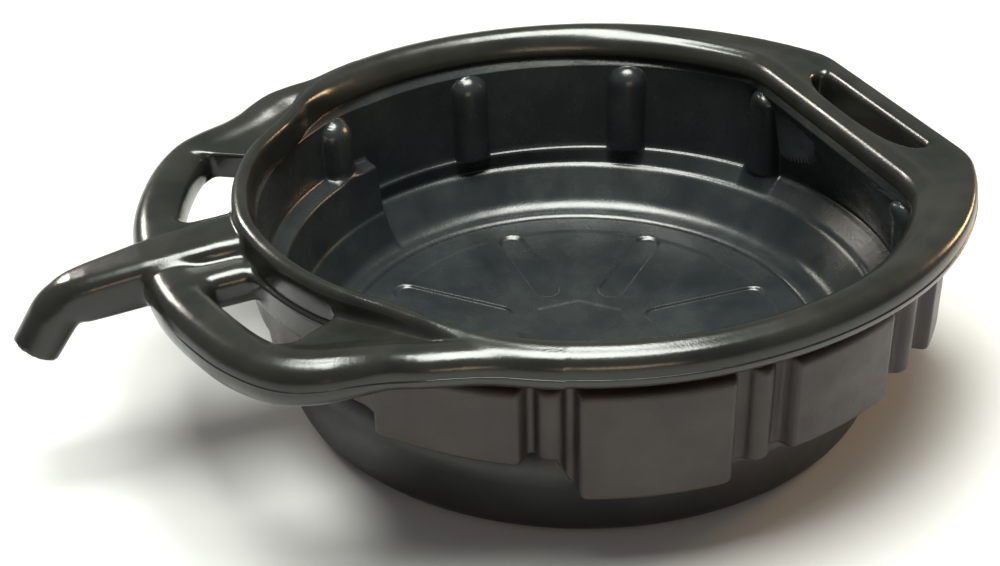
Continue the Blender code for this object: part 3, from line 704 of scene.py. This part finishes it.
def settle(verts, quads, field, pitch):
    """Even the mesh out a little and put every vertex exactly on the surface."""
    probe = 0.00012
    least_slope = 0.05
    longest_move = 0.6 * pitch
    pairs = np.concatenate([quads[:, [k, (k + 1) % 4]] for k in range(4)])
    count = np.bincount(pairs.ravel(), minlength=len(verts))
    for turn in range(4):
        if turn < 3:
            total = np.zeros_like(verts)
            for c in range(3):
                total[:, c] = np.bincount(pairs[:, 0], verts[pairs[:, 1], c], len(verts))
                total[:, c] += np.bincount(pairs[:, 1], verts[pairs[:, 0], c], len(verts))
            verts = verts + 0.5 * (total / count[:, None] - verts)
        value = field(verts[:, 0], verts[:, 1], verts[:, 2])
        grad = np.zeros_like(verts)
        for c in range(3):
            moved = verts.copy()
            moved[:, c] += probe
            grad[:, c] = (field(moved[:, 0], moved[:, 1], moved[:, 2]) - value) / probe
        slope = np.maximum((grad * grad).sum(axis=1), least_slope)
        move = -(value / slope)[:, None] * grad
        excess = np.maximum(np.sqrt((move * move).sum(axis=1)) / longest_move, 1.0)
        verts = verts + move / excess[:, None]
    return verts


def build_rim(pitch):
    """Sample the field on one side, mirror it, and mesh it."""
    margin = 0.004
    side_margin = 0.006
    low_x = SPOUT_CORNER[0] - margin
    low_z = SPOUT_CORNER[2] - margin
    nx = int((CARRY_X + side_margin - low_x) / pitch) + 2
    ny = int((RIM_R + side_margin) / pitch) + 2
    nz = int((TOP_Z + margin - low_z) / pitch) + 2
    gx = low_x + pitch * np.arange(nx)
    gy = pitch * (np.arange(ny) + 0.5)
    gz = low_z + pitch * np.arange(nz)
    half = rim_field(gx[:, None, None], gy[None, :, None], gz[None, None, :])
    full = np.concatenate([half[:, ::-1], half], axis=1)
    verts, quads = surface_nets(full, (low_x, -gy[-1], low_z), pitch)
    verts = settle(verts, quads, rim_field, pitch)
    return mesh_object("rim_and_handles", verts, quads.tolist())


# ---- parting line -------------------------------------------------------------------------
LINE_Z = 0.1240                 # height of the line on the bead
LINE_HANDLE_Z = 0.1135          # and on the handles
LINE_END = 166.0                # it fades out at this angle, beside the spout
LINE_FADE = 6.0
# outwards, upwards, round the line's section
LINE_SECTION = ((-0.0008, -0.0009), (0.0006, -0.0003), (0.0006, 0.0003), (-0.0008, 0.0009))
SCAN_FROM = 0.2750
SCAN_TO = 0.1950


def outermost(cosine, sine, height):
    """Radius where a ray coming in from outside meets the rim or a handle."""
    lo = np.full_like(height, SCAN_TO - 0.0050)
    hi = np.full_like(height, SCAN_FROM)
    found = np.zeros_like(height, dtype=bool)
    for r in np.linspace(SCAN_FROM, SCAN_TO, 400):
        inside = rim_field(r * cosine, r * sine, height) < 0.0
        fresh = inside & ~found
        lo[fresh] = r
        hi[fresh] = r + 0.0003
        found |= inside
    for _ in range(12):
        mid = 0.5 * (lo + hi)
        inside = rim_field(mid * cosine, mid * sine, height) < 0.0
        lo = np.where(inside, mid, lo)
        hi = np.where(inside, hi, mid)
    return lo


def build_parting_line():
    """Low ridge left by the mould halves, round the bead and both handles."""
    a = np.arange(-LINE_END, LINE_END + 0.01, 0.5)
    height = LINE_Z - (LINE_Z - LINE_HANDLE_Z) * step(128.0, 146.0, np.abs(a))
    cosine, sine = np.cos(np.radians(a)), np.sin(np.radians(a))
    surface = outermost(cosine, sine, height)
    fade = step(LINE_END, LINE_END - LINE_FADE, np.abs(a))
    rows = []
    for out, rise in LINE_SECTION:
        r = surface + out * np.where(out > 0.0, fade, 1.0)
        rows.append(np.stack([r * cosine, r * sine, height + rise], axis=-1))
    corners = len(rows)
    idx = np.arange(len(a) * corners).reshape(len(a), corners)
    faces = []
    for k in range(corners):
        j = (k + 1) % corners
        faces += np.stack([idx[:-1, k], idx[1:, k], idx[1:, j], idx[:-1, j]], axis=-1).tolist()
    faces += [idx[0].tolist(), idx[-1][::-1].tolist()]
    return mesh_object("parting_line", np.stack(rows, axis=1).reshape(-1, 3), faces)


# ---- drain passage ------------------------------------------------------------------------
def bore_hole(obj):
    """Open the skin where the drain passage runs through it."""
    sides = 32
    squareness = 0.62
    verts = []
    for x in (-0.1700, -0.2150):
        for i in range(sides):
            t = 2.0 * math.pi * i / sides
            c, s = math.cos(t), math.sin(t)
            verts.append((x, math.copysign(abs(c) ** squareness, c) * PASSAGE_HALF_Y,
                          NECK_Z + math.copysign(abs(s) ** squareness, s) * PASSAGE_HALF_Z))
    faces = [[i, (i + 1) % sides, sides + (i + 1) % sides, sides + i] for i in range(sides)]
    faces += [list(range(sides))[::-1], list(range(sides, 2 * sides))]
    tool = mesh_object("passage_cutter", verts, faces, smooth=False)
    mod = obj.modifiers.new("passage", "BOOLEAN")
    mod.operation = "DIFFERENCE"
    mod.solver = "EXACT"
    mod.object = tool
    graph = bpy.context.evaluated_depsgraph_get()
    cut = bpy.data.meshes.new_from_object(obj.evaluated_get(graph))
    obj.modifiers.clear()
    old = obj.data
    obj.data = cut
    bpy.data.meshes.remove(old)
    bpy.data.objects.remove(tool, do_unlink=True)


# ---- materials ----------------------------------------------------------------------------
def noise(tree, scale, detail, roughness):
    """Noise in the object's own metres."""
    where = tree.nodes.new("ShaderNodeTexCoord")
    made = tree.nodes.new("ShaderNodeTexNoise")
    made.inputs["Scale"].default_value = scale
    made.inputs["Detail"].default_value = detail
    made.inputs["Roughness"].default_value = roughness
    tree.links.new(where.outputs["Object"], made.inputs["Vector"])
    return made.outputs["Fac"]


def bump(tree, height, strength, distance):
    made = tree.nodes.new("ShaderNodeBump")
    made.inputs["Strength"].default_value = strength
    made.inputs["Distance"].default_value = distance
    tree.links.new(height, made.inputs["Height"])
    return made


def plastic(name, dark, light, rough_low, rough_high, grain_scale, grain_depth):
    """Black polyethylene: cloudy tone, uneven gloss, slow swells and fine moulded grain."""
    mat = bpy.data.materials.new(name)
    mat.use_nodes = True
    tree = mat.node_tree
    link = tree.links.new
    bsdf = tree.nodes["Principled BSDF"]
    bsdf.inputs["IOR"].default_value = 1.50
    bsdf.inputs["Specular IOR Level"].default_value = 0.5
    tone = tree.nodes.new("ShaderNodeValToRGB")
    for stop, position, colour in zip(tone.color_ramp.elements, (0.32, 0.72), (dark, light)):
        stop.position = position
        stop.color = (*colour, 1.0)
    link(noise(tree, 22.0, 5.0, 0.60), tone.inputs["Fac"])
    link(tone.outputs["Color"], bsdf.inputs["Base Color"])
    gloss = tree.nodes.new("ShaderNodeMapRange")
    gloss.inputs["From Min"].default_value = 0.30
    gloss.inputs["From Max"].default_value = 0.72
    gloss.inputs["To Min"].default_value = rough_low
    gloss.inputs["To Max"].default_value = rough_high
    link(noise(tree, 46.0, 6.0, 0.62), gloss.inputs["Value"])
    link(gloss.outputs["Result"], bsdf.inputs["Roughness"])
    swell = bump(tree, noise(tree, 34.0, 2.0, 0.50), 0.30, 0.0012)
    grain = bump(tree, noise(tree, grain_scale, 3.0, 0.55), grain_depth, 0.0004)
    link(swell.outputs["Normal"], grain.inputs["Normal"])
    link(grain.outputs["Normal"], bsdf.inputs["Normal"])
    return mat


def wear(obj, mat, piece_slot, *nodes):
    """Give a piece its material, its body and the nodes that it stands for; piece_slot is not
    used.
    """
    obj.data.materials.append(mat)
    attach(obj, "root")
    if nodes:
        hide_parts(*nodes)


def both(prefix, tags):
    return ["%s_%s_%s" % (prefix, tag, side) for tag in tags for side in ("left", "right")]


# ---- the pan ------------------------------------------------------------------------------
base = build_base()
skirt = build_skirt()
inside = build_inside()
floor_skin = build_floor()
rim = build_rim(0.0014)
parting = build_parting_line()
bore_hole(inside)
bore_hole(skirt)

base_mat = plastic("base_plastic", (0.0075, 0.0080, 0.0082), (0.0150, 0.0158, 0.0160),
                   rough_low=0.34, rough_high=0.50, grain_scale=900.0, grain_depth=0.30)
# The skirt's warm brown colours, lighter than the rest of the pan, are painted warm reflection
# of the floor in front; the plastic itself is the same near-neutral black.
skirt_mat_painted_reflection = plastic("skirt_textured_plastic_painted_warm_reflection", (0.0105, 0.0078, 0.0066), (0.0360, 0.0240, 0.0195),
                    rough_low=0.32, rough_high=0.52, grain_scale=1300.0, grain_depth=0.60)
inner_mat = plastic("pan_inside_plastic", (0.0080, 0.0098, 0.0106), (0.0175, 0.0210, 0.0215),
                    rough_low=0.21, rough_high=0.32, grain_scale=700.0, grain_depth=0.25)
bead_mat = plastic("rim_plastic", (0.0070, 0.0074, 0.0060), (0.0160, 0.0160, 0.0125),
                   rough_low=0.17, rough_high=0.28, grain_scale=700.0, grain_depth=0.18)

wear(base, base_mat, "outer_skin", "base_shell")
wear(skirt, skirt_mat_painted_reflection, "textured_skin", "skirt_wall",
     *both("skirt_panel", ("carry", "front", "middle", "spout")), *both("skirt_post", "abc"))
wear(inside, inner_mat, "inner_skin", "bowl_wall", "bowl_ledge", "spout_shelf", "sump_wall",
     *both("wall_rib", "abcd"))
wear(floor_skin, inner_mat, "inner_skin", "sump_floor")
wear(rim, bead_mat, "bead", "rim_bead", "carry_flange", "side_handle_left", "side_handle_right",
     "spout_tube", "spout_tip", "spout_throat")
wear(parting, bead_mat, "bead")


# ---- floor, light and camera --------------------------------------------------------------
STAGE_HALF = 6.0
STAGE_Z = -0.0003               # just under the resting face, so that the two never flicker
# name, place, aim, width, height, watts, colour
LIGHTS = (
    ("overhead", (-0.05, 0.06, 1.50), (-0.05, 0.04, 0.05), 0.95, 0.90, 66.0, (0.97, 1.0, 0.93)),
    ("back_left", (-0.85, 1.60, 0.95), (-0.1, 0.0, 0.10), 0.30, 0.30, 12.0, (1.0, 0.95, 0.84)),
    ("right_warm", (1.45, 0.25, 0.50), (0.1, 0.0, 0.10), 0.40, 0.26, 9.0, (1.0, 0.64, 0.32)),
    ("front_low", (-0.35, -1.70, 0.40), (0.0, 0.0, 0.08), 0.80, 0.25, 4.0, (1.0, 0.74, 0.50)),
)
CAMERA_PLACE = (-0.3029, -0.7384, 0.5299)
CAMERA_AIM = (-0.0386, 0.0381, 0.0351)
CAMERA_ROLL = -1.615
CAMERA_LENS = 54.0


def build_stage():
    corners = [(sx * STAGE_HALF, sy * STAGE_HALF, STAGE_Z)
               for sx, sy in ((-1, -1), (1, -1), (1, 1), (-1, 1))]
    ground = mesh_object("studio_floor", corners, [(0, 1, 2, 3)], smooth=False)
    mat = bpy.data.materials.new("studio_floor_white")
    mat.use_nodes = True
    bsdf = mat.node_tree.nodes["Principled BSDF"]
    bsdf.inputs["Base Color"].default_value = (0.50, 0.50, 0.50, 1.0)
    bsdf.inputs["Roughness"].default_value = 0.75
    ground.data.materials.append(mat)


def build_lights():
    world = bpy.data.worlds.new("studio_air")
    bpy.context.scene.world = world
    world.use_nodes = True
    back = world.node_tree.nodes["Background"]
    back.inputs["Color"].default_value = (0.93, 0.97, 1.0, 1.0)
    back.inputs["Strength"].default_value = 0.22
    for name, at, aim, width, height, watts, colour in LIGHTS:
        data = bpy.data.lights.new(name, "AREA")
        data.shape = "RECTANGLE"
        data.size = width
        data.size_y = height
        data.energy = watts
        data.color = colour
        lamp = bpy.data.objects.new(name, data)
        bpy.context.scene.collection.objects.link(lamp)
        lamp.location = at
        lamp.rotation_euler = (Vector(aim) - Vector(at)).to_track_quat("-Z", "Y").to_euler()


def build_camera():
    """Look along the photograph's line of sight, rolled a little about it."""
    place = Vector(CAMERA_PLACE)
    roll = math.radians(CAMERA_ROLL)
    forward = (Vector(CAMERA_AIM) - place).normalized()
    level = forward.cross(Vector((0.0, 0.0, 1.0))).normalized()
    upright = level.cross(forward)
    right = level * math.cos(roll) + upright * math.sin(roll)
    up = right.cross(forward)
    data = bpy.data.cameras.new("camera")
    data.lens = CAMERA_LENS
    data.sensor_width = 36.0
    camera = bpy.data.objects.new("camera", data)
    bpy.context.scene.collection.objects.link(camera)
    camera.matrix_world = Matrix((
        (right.x, up.x, -forward.x, place.x), (right.y, up.y, -forward.y, place.y),
        (right.z, up.z, -forward.z, place.z), (0.0, 0.0, 0.0, 1.0)))
    bpy.context.scene.camera = camera


# the default view transform turns black plastic grey
bpy.context.scene.view_settings.view_transform = "Standard"
build_stage()
build_lights()
build_camera()
